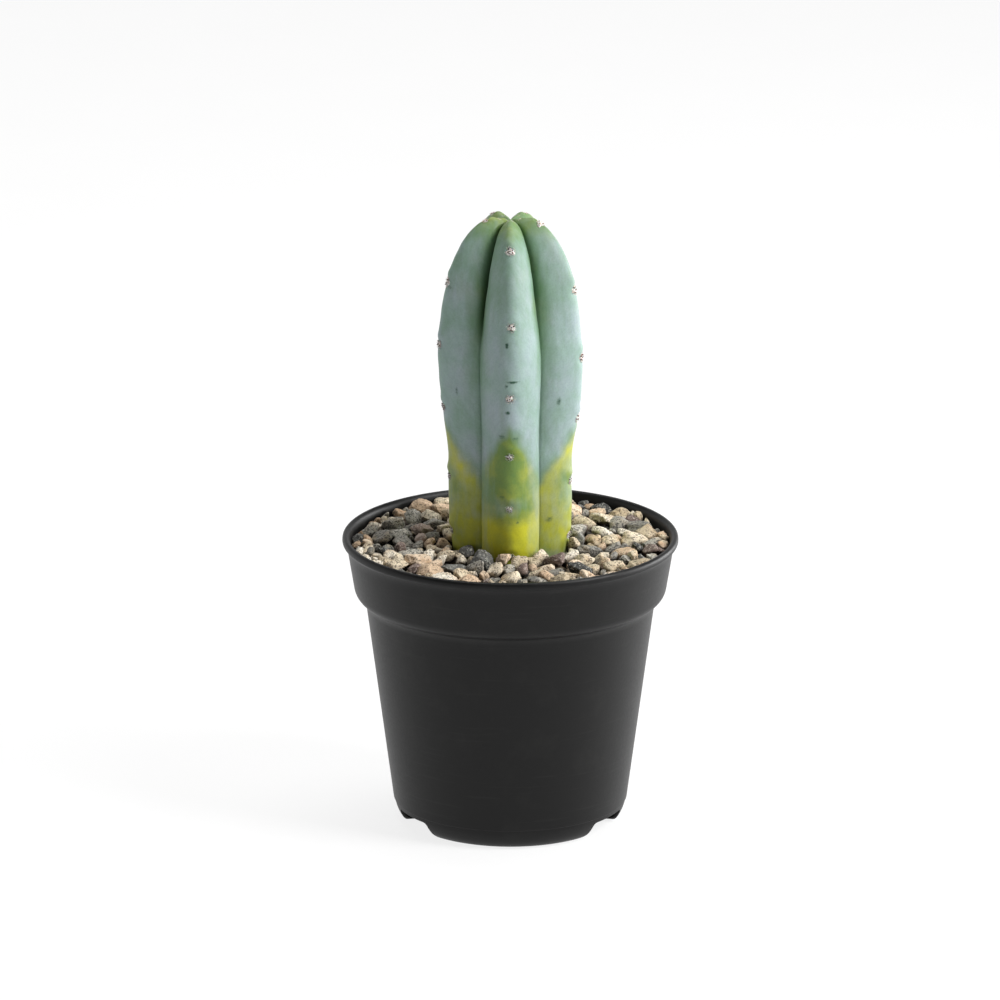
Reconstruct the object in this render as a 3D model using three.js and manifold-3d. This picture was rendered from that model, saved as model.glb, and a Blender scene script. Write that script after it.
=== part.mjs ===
// A columnar blue cactus with five ribs, standing in a round black nursery pot under a gravel top dressing.
//
// Millimetres, +Z up. The origin is the middle of the ring of feet, on the surface that the pot stands on.
// Bearings are in degrees from the front of the pot (-Y), positive towards +X.

import * as THREE from 'three';
import { ConvexGeometry } from 'three/addons/geometries/ConvexGeometry.js';
import { mergeVertices } from 'three/addons/utils/BufferGeometryUtils.js';
import Module from 'manifold-3d';

// ---- driving dimensions ----

const AROUND = 60;                  // facets round the pot, a multiple of four
const GAP = 0.4;                    // clearance between a piece and the one that it rests in

const RIM_RADIUS = 65;
const POT_HEIGHT = 114.2;
const FOOT_RADIUS = 39.2;           // outer edge of the flat ring that the pot stands on
const FOOT_INNER_RADIUS = 36.8;
const BASE_HEIGHT = 3.6;            // underside of the raised base plate
const WALL = 1.2;
const LEDGE_HEIGHT = 8.2;           // the mould's parting step just above the feet
const SHOULDER_HEIGHT = 86.2;       // where the tapering body turns out into the collar
const COLLAR_HEIGHT = 93.6;         // where the collar's straight side begins
const LIP_HEIGHT = 106.4;           // where the collar turns out into the lip

const DRAIN_BEARINGS = [60, 180, 300];
const DRAIN_HEIGHT = 6.5;
const DRAIN_INNER_RADIUS = 35.9;

const MIX_TOP = 98;                 // the potting mix below the gravel
const GRAVEL_EDGE = 109.2;          // the gravel's surface at the wall and at the stem: it is mounded
const GRAVEL_MIDDLE = 111.4;
const GRAVEL_BUMP = 0.7;

const RIBS = 5;
const STEM_FACETS = 60;
const STEM_RINGS = 26;
const RIDGE_ROUNDING = 0.2;         // share of a rib's half width over which its ridge is rounded
const STEM_AT_GRAVEL = 24.2;        // how close to the axis a stone may lie

// ---- small helpers ----

const wasm = await Module();
wasm.setup();

const radians = (degrees) => degrees * Math.PI / 180;

function randomNumbers(seed) {
  let state = seed;
  return () => {
    state = (state + 0x6d2b79f5) | 0;
    let mixed = Math.imul(state ^ (state >>> 15), 1 | state);
    mixed = (mixed + Math.imul(mixed ^ (mixed >>> 7), 61 | mixed)) ^ mixed;
    return ((mixed ^ (mixed >>> 14)) >>> 0) / 4294967296;
  };
}

// A closed geometry as a solid that can be cut.
function solid(geometry) {
  const bare = geometry.clone();
  bare.deleteAttribute('normal');
  bare.deleteAttribute('uv');
  const merged = mergeVertices(bare, 1e-4);
  const corners = merged.index.array;
  const kept = [];
  for (let i = 0; i < corners.length; i += 3) {
    const [a, b, c] = corners.slice(i, i + 3);
    if (a !== b && b !== c && c !== a) kept.push(a, b, c);
  }
  return new wasm.Manifold(new wasm.Mesh({
    numProp: 3,
    vertProperties: Float32Array.from(merged.attributes.position.array),
    triVerts: Uint32Array.from(kept),
  }));
}

function geometryOf(cutSolid) {
  const mesh = cutSolid.getMesh();
  const geometry = new THREE.BufferGeometry();
  geometry.setAttribute('position', new THREE.BufferAttribute(mesh.vertProperties, 3));
  geometry.setIndex(new THREE.BufferAttribute(mesh.triVerts, 1));
  geometry.computeVertexNormals();
  return geometry;
}

// A profile of (radius, height) points turned about the vertical axis, starting at the front.
function turned(profile, facets = AROUND) {
  return new THREE.LatheGeometry(profile, facets).rotateX(Math.PI / 2);
}

// ---- the pot: one thin moulded shell ----

function potOutside() {
  const outline = new THREE.Path();
  outline.moveTo(0, BASE_HEIGHT);
  outline.lineTo(35, BASE_HEIGHT);
  outline.lineTo(FOOT_INNER_RADIUS - 0.6, 0.4);
  outline.lineTo(FOOT_INNER_RADIUS, 0);
  outline.lineTo(FOOT_RADIUS, 0);
  outline.quadraticCurveTo(43.3, 0.5, 44.9, LEDGE_HEIGHT - 1.4);
  outline.lineTo(45, LEDGE_HEIGHT - 0.3);
  outline.lineTo(45.4, LEDGE_HEIGHT + 0.2);
  outline.lineTo(55.8, SHOULDER_HEIGHT);
  outline.quadraticCurveTo(56.4, 88.9, 58.3, 90);
  outline.quadraticCurveTo(60, 91.1, 60.5, COLLAR_HEIGHT);
  outline.lineTo(62.6, LIP_HEIGHT);
  outline.quadraticCurveTo(63.2, 110.5, 64.5, 111.4);
  outline.quadraticCurveTo(RIM_RADIUS, 111.9, RIM_RADIUS, 112.9);
  outline.quadraticCurveTo(RIM_RADIUS, POT_HEIGHT, 63.8, POT_HEIGHT);
  return outline.getPoints(2);
}

// The inner surface, from the middle of the base plate up to the lip.
function potInside() {
  const outline = new THREE.Path();
  outline.moveTo(0, BASE_HEIGHT + WALL);
  outline.lineTo(35.5, BASE_HEIGHT + WALL);
  outline.lineTo(37.6, WALL);
  outline.lineTo(39.2, WALL);
  outline.quadraticCurveTo(42.3, 1.8, 43.7, LEDGE_HEIGHT - 1);
  outline.lineTo(54.5, SHOULDER_HEIGHT + 0.8);
  outline.quadraticCurveTo(55.1, 90.2, 57.4, 91.1);
  outline.quadraticCurveTo(58.9, 92, 59.1, COLLAR_HEIGHT + 0.8);
  outline.lineTo(61.1, LIP_HEIGHT);
  outline.quadraticCurveTo(61.6, 111.7, 62.7, 113.5);
  outline.lineTo(63.1, POT_HEIGHT);
  return outline.getPoints(2);
}

const INSIDE = potInside();
const WALL_INSIDE = INSIDE.filter((point) => point.x >= FOOT_RADIUS);

function insideRadius(height) {
  const above = WALL_INSIDE.findIndex((point) => point.y > height);
  const [low, high] = [WALL_INSIDE[above - 1], WALL_INSIDE[above]];
  return THREE.MathUtils.mapLinear(height, low.y, high.y, low.x, high.x);
}

// The arched gap between two feet, cut through the wall into the channel inside them.
function drainNotch(bearing) {
  const arch = new THREE.Shape();
  arch.moveTo(-16, -1);
  arch.lineTo(-16, 0);
  arch.quadraticCurveTo(-11.6, 0.2, -10.8, 2.6);
  arch.lineTo(-9.9, 5);
  arch.quadraticCurveTo(-9.4, DRAIN_HEIGHT, -7.8, DRAIN_HEIGHT);
  arch.lineTo(7.8, DRAIN_HEIGHT);
  arch.quadraticCurveTo(9.4, DRAIN_HEIGHT, 9.9, 5);
  arch.lineTo(10.8, 2.6);
  arch.quadraticCurveTo(11.6, 0.2, 16, 0);
  arch.lineTo(16, -1);
  const outwards = new THREE.ExtrudeGeometry(arch, { depth: 30, bevelEnabled: false, curveSegments: 4 });
  outwards.translate(0, 0, 25).rotateX(Math.PI / 2).rotateZ(radians(bearing));

  const [near, far, low, high] = [DRAIN_INNER_RADIUS, 50, -2, 8];
  const ringSection = [[near, low], [far, low], [far, high], [near, high], [near, low]];
  const ring = turned(ringSection.map(([x, y]) => new THREE.Vector2(x, y)));
  return solid(ring).intersect(solid(outwards));
}

function potShell() {
  const profile = [...potOutside(), ...INSIDE.toReversed()];
  let shell = solid(turned(profile));
  for (const bearing of DRAIN_BEARINGS) shell = shell.subtract(drainNotch(bearing));
  return geometryOf(shell);
}

// ---- the stem: five ribs from one ridge curve and one furrow curve ----

// Each row is one level: the ridge's radius and height, then the furrow's.
const STEM_LEVELS = [
  [0, 87, 0, 87],
  [12, 88.5, 10, 88.5],
  [19.5, 95, 15.5, 95],
  [22.4, 107, 18.3, 107],
  [24.2, 121, 18.9, 121],
  [24.6, 138.5, 19, 138.5],
  [25, 151, 19, 151],
  [27, 164, 19.2, 164],
  [28.5, 180, 19.8, 180],
  [28.7, 192, 19.6, 192],
  [27.3, 207, 17.2, 207],
  [24.4, 221, 13.8, 221],
  [19.8, 231, 10.4, 230.5],
  [14.2, 238, 7, 236],
  [8.5, 240.9, 4.2, 238.4],
  [3, 240.4, 1.8, 238.9],
  [0, 239.2, 0, 239.2],
];
const RIDGE = new THREE.SplineCurve(STEM_LEVELS.map(([x, y]) => new THREE.Vector2(x, y)));
const FURROW = new THREE.SplineCurve(STEM_LEVELS.map(([, , x, y]) => new THREE.Vector2(x, y)));

// How much of the way from furrow to ridge the surface stands at a bearing: 1 on a ridge, 0 in a furrow.
function ribShare(bearing) {
  const ribWidth = 2 * Math.PI / RIBS;
  const fromRidge = Math.abs(bearing - ribWidth * Math.round(bearing / ribWidth)) / (ribWidth / 2);
  const rounded = (share) => Math.hypot(share, RIDGE_ROUNDING) - RIDGE_ROUNDING;
  return 1 - rounded(fromRidge) / rounded(1);
}

// The stem, or the same shape grown by a clearance, for cutting its place in what holds it.
function stemGeometry(clearance = 0) {
  const geometry = turned(RIDGE.getPoints(STEM_RINGS), STEM_FACETS);
  const position = geometry.attributes.position;
  const perColumn = STEM_RINGS + 1;
  for (let i = 0; i < position.count; i += 1) {
    const along = (i % perColumn) / STEM_RINGS;
    const bearing = Math.floor(i / perColumn) / STEM_FACETS * 2 * Math.PI;
    const point = FURROW.getPoint(along).lerp(RIDGE.getPoint(along), ribShare(bearing));
    const onAxis = i % perColumn === 0 || i % perColumn === STEM_RINGS;
    const radius = onAxis ? 0 : point.x + clearance;
    const height = point.y + clearance * (along < 0.5 ? -1 : 1);
    position.setXYZ(i, radius * Math.sin(bearing), -radius * Math.cos(bearing), height);
  }
  geometry.computeVertexNormals();
  return geometry;
}

// ---- the potting mix ----

function pottingMix() {
  const bottom = BASE_HEIGHT + WALL + GAP;
  const side = WALL_INSIDE.filter((point) => point.y > bottom && point.y < MIX_TOP);
  const profile = [
    new THREE.Vector2(0, bottom),
    new THREE.Vector2(insideRadius(bottom) - GAP, bottom),
    ...side.map((point) => new THREE.Vector2(point.x - GAP, point.y)),
    new THREE.Vector2(insideRadius(MIX_TOP) - GAP, MIX_TOP),
    new THREE.Vector2(0, MIX_TOP),
  ];
  return geometryOf(solid(turned(profile)).subtract(solid(stemGeometry(GAP))));
}

// ---- the single stones lying on top of the gravel ----

// Bearing, distance from the axis, length, width, height and the turn of the long side from +X.
const STONES = {
  dark: [
    [-21, 29, 10.5, 9, 8, 20],
    [-31, 41, 11.6, 7, 5, 5],
    [-1, 43, 10.5, 6, 4, -12],
    [18, 46, 5.6, 5, 5, 40],
    [58, 49, 5.6, 4.5, 3.5, 0],
    [134, 54, 7, 5.5, 4, -10],
    [120, 42, 8, 6, 5, -10],
    [172, 45, 8, 6.5, 5, 20],
  ],
  grey: [
    [70, 34, 11.6, 8, 5.5, 8],
    [-108, 50, 13.5, 7.5, 5, -5],
    [-121, 44, 9.5, 6.5, 4.5, 10],
    [-136, 53, 11, 8, 6, -20],
    [-87, 35, 7, 6, 5, 45],
    [6, 36, 6.4, 5, 4.5, -20],
    [14, 39, 7.2, 6, 5, 35],
    [84, 53, 5.8, 5, 4.5, 40],
    [155, 54, 6, 5, 4, 10],
    [-165, 38, 9, 7, 5, -25],
  ],
  cream: [
    [16, 30, 9, 8, 7, 30],
    [40, 28, 7.2, 5.5, 5, 0],
    [49, 37, 8.2, 6.5, 5, 20],
    [-60, 38, 10.5, 6, 6, 62],
    [-68, 50, 7.6, 6.5, 5, 0],
    [-75, 54, 5.6, 5, 4, -20],
    [-46, 29, 6.4, 6, 5.5, -30],
    [-45, 37, 8, 6, 5, 5],
    [26, 48, 9, 6, 4, 5],
    [44, 45, 7, 6.5, 6, 60],
    [69, 52, 8.2, 5.5, 4.5, -5],
    [132, 47, 10.5, 7, 5.5, 0],
    [146, 38, 6, 5, 4.5, 20],
    [180, 55, 9, 6, 4.5, 0],
  ],
  tan: [
    [-4, 28, 7, 5.6, 6, 80],
    [76, 44, 11.4, 9, 6.5, 10],
    [-150, 52, 9, 8, 7, 40],
    [-90, 55, 6.4, 5.5, 4.5, -30],
    [-98, 45, 6.6, 6, 5, -40],
    [-40, 48, 6.6, 5, 4, 20],
    [-63, 29, 6, 5, 5, 70],
    [-12, 45, 5.8, 5.2, 5, 60],
    [35, 41, 5.6, 5, 4.5, 10],
    [55, 43, 6.6, 6, 5.5, -40],
    [104, 46, 7.4, 6, 4.5, -15],
    [100, 31, 7.2, 5.5, 4.5, 30],
    [-172, 30, 7, 6, 5, 15],
  ],
  mauve: [
    [31, 35, 9.8, 7.5, 5.5, -15],
    [-122, 54, 6.6, 5.5, 4.5, 0],
    [-109, 37, 9.6, 8, 6.5, 25],
    [-20, 37, 4.8, 4.4, 4, 0],
    [120, 54, 7.4, 6.5, 5.5, -30],
    [126, 33, 5.6, 5.4, 5, 40],
  ],
};
const STONE_COLOURS = { dark: '#4b4d4d', grey: '#85847d', cream: '#d6c5a6', tan: '#c39a70', mauve: '#7d665b' };
const STONE_CORNERS = 16;
const STONE_FILL = 0.96;            // a stone's size against the ellipse kept clear for it
const STONE_SINK = 0.12;            // how far a stone's middle stands over the gravel, as a share of its height
const POCKET_GROWTH = 1.22;         // the pocket that a stone lies in, against the stone

function stoneList() {
  return Object.entries(STONES).flatMap(([kind, rows]) => rows.map((row, i) => {
    const [bearing, distance, length, width, height, turn] = row;
    return {
      name: `stone_${kind}_${i + 1}`,
      kind,
      x: distance * Math.sin(radians(bearing)),
      y: -distance * Math.cos(radians(bearing)),
      half: new THREE.Vector3(length, width, height).multiplyScalar(0.5),
      turn: radians(turn),
    };
  }));
}

// How far a stone reaches from its middle in the level direction (x, y).
function reach(stone, x, y) {
  const angle = Math.atan2(y, x) - stone.turn;
  return Math.hypot(stone.half.x * Math.cos(angle), stone.half.y * Math.sin(angle));
}

// Nudge the stones apart until none touch, and keep them between the stem and the wall.
function spread(stones) {
  const outerLimit = insideRadius(GRAVEL_EDGE) - 2 * GAP;
  for (let pass = 0; pass < 400; pass += 1) {
    for (const stone of stones) {
      for (const other of stones) {
        if (other === stone) continue;
        const [x, y] = [other.x - stone.x, other.y - stone.y];
        const distance = Math.hypot(x, y);
        const overlap = reach(stone, x, y) + reach(other, x, y) + GAP - distance;
        if (overlap <= 0) continue;
        const push = overlap * 0.5 / distance;
        stone.x -= x * push;
        stone.y -= y * push;
        other.x += x * push;
        other.y += y * push;
      }
      const distance = Math.hypot(stone.x, stone.y);
      const room = reach(stone, stone.x, stone.y) * 1.1;
      const allowed = THREE.MathUtils.clamp(distance, STEM_AT_GRAVEL + room, outerLimit - room);
      stone.x *= allowed / distance;
      stone.y *= allowed / distance;
    }
  }
  return stones;
}

function gravelHeight(distance) {
  const share = THREE.MathUtils.smoothstep(distance, STEM_AT_GRAVEL, insideRadius(GRAVEL_EDGE));
  return THREE.MathUtils.lerp(GRAVEL_MIDDLE, GRAVEL_EDGE, share);
}

// A broken pebble: the hull of uneven points on a slightly boxy ellipsoid.
function stoneGeometry(stone, seed) {
  const random = randomNumbers(seed);
  const points = [];
  for (let i = 0; i < STONE_CORNERS; i += 1) {
    const height = 1 - 2 * (i + 0.5) / STONE_CORNERS;
    const angle = i * Math.PI * (3 - Math.sqrt(5)) + random() * 0.8;
    const ring = Math.sqrt(1 - height * height);
    const direction = [ring * Math.cos(angle), ring * Math.sin(angle), height];
    const size = 0.84 + 0.16 * random();
    const boxy = direction.map((value) => Math.sign(value) * Math.abs(value) ** 0.9 * size);
    points.push(new THREE.Vector3(...boxy).clampLength(0, 1));
  }
  const geometry = new ConvexGeometry(points);
  geometry.computeBoundingBox();
  const rough = geometry.boundingBox.getSize(new THREE.Vector3());
  const scale = stone.half.clone().multiplyScalar(2 * STONE_FILL).divide(rough);
  geometry.center().scale(...scale);
  geometry.rotateX((random() - 0.5) * 0.5).rotateY((random() - 0.5) * 0.4).rotateZ(stone.turn);
  return geometry;
}

// ---- the gravel bed: the close-packed gravel under and between the single stones ----

function gravelBed(stones) {
  const wall = insideRadius(GRAVEL_EDGE) - GAP;
  const rings = 5;
  const surface = Array.from({ length: rings + 1 }, (_, i) => {
    const distance = wall * (1 - i / rings);
    return new THREE.Vector2(distance, gravelHeight(distance));
  });
  const bottom = MIX_TOP + GAP;
  const profile = [
    new THREE.Vector2(0, bottom),
    new THREE.Vector2(insideRadius(bottom) - GAP, bottom),
    ...surface,
  ];
  const geometry = turned(profile);
  const position = geometry.attributes.position;
  for (let i = 0; i < position.count; i += 1) {
    const [x, y, z] = [position.getX(i), position.getY(i), position.getZ(i)];
    const distance = Math.hypot(x, y);
    if (z < GRAVEL_EDGE - 1 || distance > wall - 1 || distance < 1) continue;
    position.setZ(i, z + GRAVEL_BUMP * Math.sin(x * 0.9 + y * 0.3) * Math.cos(y * 0.8 - x * 0.2));
  }
  let bed = solid(geometry).subtract(solid(stemGeometry(GAP)));
  for (const { pocket } of stones) bed = bed.subtract(solid(pocket));
  return geometryOf(bed);
}

// ---- the whole plant ----

const group = new THREE.Group();

function addPiece(name, geometry, colour, roughness) {
  const material = new THREE.MeshStandardMaterial({ color: colour, roughness, metalness: 0 });
  const mesh = new THREE.Mesh(geometry, material);
  mesh.name = name;
  group.add(mesh);
  return mesh;
}

const stones = spread(stoneList());
stones.forEach((stone, i) => {
  const shape = stoneGeometry(stone, 100 + i);
  const height = gravelHeight(Math.hypot(stone.x, stone.y)) + STONE_SINK * 2 * stone.half.z;
  const place = new THREE.Vector3(stone.x, stone.y, height);
  stone.pocket = shape.clone().scale(POCKET_GROWTH, POCKET_GROWTH, POCKET_GROWTH).translate(...place);
  addPiece(stone.name, shape, STONE_COLOURS[stone.kind], 0.85).position.copy(place);
});

addPiece('pot', potShell(), '#26272a', 0.45);
addPiece('potting_mix', pottingMix(), '#2e241c', 0.95);
addPiece('gravel_bed', gravelBed(stones), '#8f8577', 0.9);
addPiece('cactus_stem', stemGeometry(), '#7fa096', 0.55);

export default group;
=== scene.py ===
"""A five-ribbed blue columnar cactus in a black nursery pot, dressed with mixed gravel.

Metres, +Z up, -Y the front. Shapes are worked out in mm, and add_mesh turns them into metres, as mm() does
for a single size. A bearing is measured from the front towards +X. A profile's points are (radius, height).
"""

import functools
import math

import bmesh
import bpy
import numpy as np
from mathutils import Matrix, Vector, noise


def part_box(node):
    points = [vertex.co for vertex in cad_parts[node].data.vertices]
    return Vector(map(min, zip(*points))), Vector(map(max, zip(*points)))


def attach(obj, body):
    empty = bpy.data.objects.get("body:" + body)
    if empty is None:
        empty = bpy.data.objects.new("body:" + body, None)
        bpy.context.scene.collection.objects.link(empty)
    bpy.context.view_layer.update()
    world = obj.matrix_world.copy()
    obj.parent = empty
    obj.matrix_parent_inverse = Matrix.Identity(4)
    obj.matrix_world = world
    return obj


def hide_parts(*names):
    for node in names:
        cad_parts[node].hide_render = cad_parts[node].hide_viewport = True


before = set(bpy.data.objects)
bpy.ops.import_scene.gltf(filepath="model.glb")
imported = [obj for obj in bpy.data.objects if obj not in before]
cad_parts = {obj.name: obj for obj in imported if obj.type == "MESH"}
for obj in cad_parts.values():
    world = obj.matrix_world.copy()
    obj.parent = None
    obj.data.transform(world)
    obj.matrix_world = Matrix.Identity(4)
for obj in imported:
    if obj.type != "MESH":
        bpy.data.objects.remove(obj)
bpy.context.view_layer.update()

SEED = 20


def mm(value):
    """Mm as metres."""
    return value * 0.001


def to_mm(value):
    """Metres as mm."""
    return value * 1000


# ---- the pot's and the stem's driving sizes, in mm, as the frame has them ----

POT_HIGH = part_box("pot")[1]
RIM_RADIUS = to_mm(POT_HIGH.x)
POT_HEIGHT = to_mm(POT_HIGH.z)
FOOT_RADIUS = 39.2
BASE_HEIGHT = 3.6
WALL = 1.2
LEDGE_HEIGHT = 8.2
SHOULDER_HEIGHT = 86.2
COLLAR_HEIGHT = 93.6
LIP_HEIGHT = 106.4
DRAIN_BEARINGS = (60, 180, 300)
DRAIN_HEIGHT = 6.5
DRAIN_INNER_RADIUS = 35.9
GRAVEL_RADIUS = 61.6
GRAVEL_EDGE = 110.4
GRAVEL_MIDDLE = 112.2
UNDER_LAYER_RADIUS = 59.0

RIBS = 5
RIDGE_ROUNDING = 0.2
# Each row is one level of the stem: the ridge's radius and height, then the furrow's.
STEM_LEVELS = np.array([
    [0, 87, 0, 87],
    [12, 88.5, 10, 88.5],
    [19.5, 95, 15.5, 95],
    [22.4, 107, 18.3, 107],
    [24.2, 121, 18.9, 121],
    [24.6, 138.5, 19, 138.5],
    [25, 151, 19, 151],
    [27, 164, 19.2, 164],
    [28.5, 180, 19.8, 180],
    [28.7, 192, 19.6, 192],
    [27.3, 207, 17.2, 207],
    [24.4, 221, 13.8, 221],
    [19.8, 231, 10.4, 230.5],
    [14.2, 238, 7, 236],
    [8.5, 240.9, 4.2, 238.4],
    [3, 240.4, 1.8, 238.9],
    [0, 239.2, 0, 239.2],
])
# How deep the furrow after each rib cuts into the crown, as a share of the deepest.
FURROW_SHARES = np.array([0.45, 0.9, 0.75, 0.85, 1.0])
# How high the areoles sit on each rib's ridge, from the foot up, and then the rows of STEM_LEVELS of the
# young ones that crowd the tip. Rib 0 faces the front.
AREOLE_HEIGHTS = (
    (112, 131.5, 152.5, 176.5, 204.5, 232.3),
    (116, 138, 163, 187.6, 214.3),
    (110, 129, 151, 174, 199, 225),
    (118, 137, 160, 185, 209, 230),
    (118, 140, 168, 193, 217),
)
YOUNG_LEVELS = ((14.75,), (13.35, 14.85), (13.9, 14.7), (13.6, 14.8), (13.7, 14.7))


# ---- meshes ----

def add_mesh(name, points, faces, material, smooth=True):
    """A mesh object from points in mm."""
    mesh = bpy.data.meshes.new(name)
    mesh.from_pydata(mm(np.asarray(points)).tolist(), [], faces)
    mesh.validate()
    mesh.polygons.foreach_set("use_smooth", [smooth] * len(mesh.polygons))
    mesh.materials.append(material)
    piece = bpy.data.objects.new(name, mesh)
    bpy.context.collection.objects.link(piece)
    return piece


def add_values(piece, name, values):
    """One number for each point of a piece, for its material to read."""
    layer = piece.data.attributes.new(name, "FLOAT", "POINT")
    layer.data.foreach_set("value", np.asarray(values, dtype=np.float32))


def join_parts(parts):
    """Several (points, faces) pairs as one."""
    points = np.concatenate([part[0] for part in parts])
    faces = []
    start = 0
    for part_points, part_faces in parts:
        faces += [[corner + start for corner in face] for face in part_faces]
        start += len(part_points)
    return points, faces


def ring_band(low, high, around):
    """The faces between two rings of points, each ring given by its first point."""
    return [[low + i, low + (i + 1) % around, high + (i + 1) % around, high + i] for i in range(around)]


def turn_profile(profile, around):
    """Turn a closed or axis-to-axis profile about the vertical axis."""
    profile = np.asarray(profile, float)
    bearings = np.arange(around) / around * math.tau
    points = []
    rows = []
    for radius, height in profile:
        if radius < 1e-6:
            rows.append([len(points)] * around)
            points.append((0, 0, height))
        else:
            rows.append(list(range(len(points), len(points) + around)))
            points += [(radius * math.sin(b), -radius * math.cos(b), height) for b in bearings]
    faces = []
    for low, high in zip(rows[:-1], rows[1:]):
        for i in range(around):
            j = (i + 1) % around
            corners = [low[i], low[j], high[j], high[i]]
            unique = list(dict.fromkeys(corners))
            if len(unique) > 2:
                faces.append(unique)
    return np.array(points), faces


def curve_points(start, bend, end, steps):
    """Points along a quadratic curve, without its start."""
    share = np.linspace(0, 1, steps + 1)[1:, None]
    start, bend, end = (np.array(point, float) for point in (start, bend, end))
    return (1 - share) ** 2 * start + 2 * share * (1 - share) * bend + share ** 2 * end


def outline(start, *moves, steps=10):
    """A profile of straight moves (one point) and curved moves (a bend and an end)."""
    points = [np.array(start, float)]
    for move in moves:
        if len(move) == 2:
            points.append(np.array(move, float))
        else:
            points += list(curve_points(points[-1], move[:2], move[2:], steps))
    return np.array(points)


def resample(points, spacing):
    """Split a profile's long straight stretches."""
    finer = [points[0]]
    for a, b in zip(points[:-1], points[1:]):
        count = max(1, math.ceil(np.linalg.norm(b - a) / spacing))
        finer += [a + (b - a) * i / count for i in range(1, count + 1)]
    return np.array(finer)


def smooth_step(low, high, value):
    """From 0 at low to 1 at high, without a kink."""
    share = np.clip((value - low) / (high - low), 0, 1)
    return share * share * (3 - 2 * share)


# ---- materials: shared ----

# The inputs of a mix node: how much of B, then A and B as colours, then as plain numbers.
FACTOR, A, B, A_NUMBER, B_NUMBER = 0, 6, 7, 2, 3


def linear(colour):
    """An sRGB hex colour as linear red, green, blue and alpha."""
    parts = [int(colour[i:i + 2], 16) / 255 for i in (1, 3, 5)]
    return tuple(c / 12.92 if c <= 0.04045 else ((c + 0.055) / 1.055) ** 2.4 for c in parts) + (1.0,)


def connect(made, inputs):
    """Fill a node's inputs: a value is set, a socket is linked, and a node by its first live output."""
    for key, value in inputs.items():
        if isinstance(value, bpy.types.Node):
            value = next(socket for socket in value.outputs if socket.enabled)
        if isinstance(value, bpy.types.NodeSocket):
            made.id_data.links.new(value, made.inputs[key])
        else:
            made.inputs[key].default_value = value


def node(tree, kind, inputs=None, stops=(), **settings):
    """Add a node with its settings and inputs. Stops are a colour ramp's (position, hex colour) pairs."""
    made = tree.nodes.new("ShaderNode" + kind)
    for name, value in settings.items():
        setattr(made, name, value)
    for place, (position, colour) in enumerate(stops):
        ramp = made.color_ramp.elements
        element = ramp[place] if place < len(ramp) else ramp.new(position)
        element.position = position
        element.color = linear(colour)
    connect(made, inputs or {})
    return made


def new_material(name, **surface):
    """A material with its shader's sockets set, node() for its tree, the shader and object coordinates."""
    material = bpy.data.materials.new(name)
    material.use_nodes = True
    shader = material.node_tree.nodes["Principled BSDF"]
    for key, value in surface.items():
        shader.inputs[key.replace("_", " ")].default_value = value
    add = functools.partial(node, material.node_tree)
    return material, add, shader, add("TexCoord").outputs["Object"]


def per(size_mm):
    """The texture scale that gives features of this size."""
    return 1000 / size_mm


# ---- materials: each one ----

def black_polypropylene():
    """Black polypropylene, injection moulded with a fine satin finish.

    To the eye: near black, with broad soft reflections that brighten at the sides, a barely visible orange
    peel and a few faint dusty rubs.
    """
    material, add, shader, place = new_material("black_polypropylene", IOR=1.49, Specular_IOR_Level=0.25)
    peel = add("TexNoise", {"Vector": place, "Scale": per(1.1), "Detail": 3.0})
    grain = add("TexNoise", {"Vector": place, "Scale": per(0.35), "Detail": 2.0})
    dust = add("TexNoise", {"Vector": place, "Scale": per(14), "Detail": 6.0, "Roughness": 0.65})
    dusty = add("MapRange", {"Value": dust, "From Min": 0.52, "From Max": 0.8})
    # Rubs run round the pot, where it was slid out of a stack, so the pattern is stretched level.
    flat_place = add("Mapping", {"Vector": place, "Scale": (0.1, 0.1, 2.0)})
    rub = add("TexNoise", {"Vector": flat_place, "Scale": per(2.5), "Detail": 5.0})
    rubbed = add("MapRange", {"Value": rub, "From Min": 0.6, "From Max": 0.9})
    base = add("Mix", {FACTOR: dusty, A: linear("#080808"), B: linear("#141413")}, data_type="RGBA")
    colour = add("Mix", {FACTOR: rubbed, A: base, B: linear("#1c1c1b")}, data_type="RGBA")
    # The inner face took the rougher side of the mould, and its colour is darkened to near black as painted
    # shade.
    inside = add("Attribute", attribute_name="inside").outputs["Fac"]
    satin = add("MapRange", {"Value": peel, "To Min": 0.38, "To Max": 0.5})
    rough = add("Mix", {FACTOR: inside, A_NUMBER: satin, B_NUMBER: 0.85}, data_type="FLOAT")
    # Painted shade: near black on the inner face, for the shade inside the pot.
    recoloured = add("Mix", {FACTOR: inside, A: colour, B: linear("#040403")}, data_type="RGBA")
    fine = add("Bump", {"Height": grain, "Strength": 0.10, "Distance": mm(0.04)})
    bump = add("Bump", {"Height": peel, "Strength": 0.12, "Distance": mm(0.12), "Normal": fine})
    connect(shader, {"Base Color": recoloured, "Roughness": rough, "Normal": bump})
    return material


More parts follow.
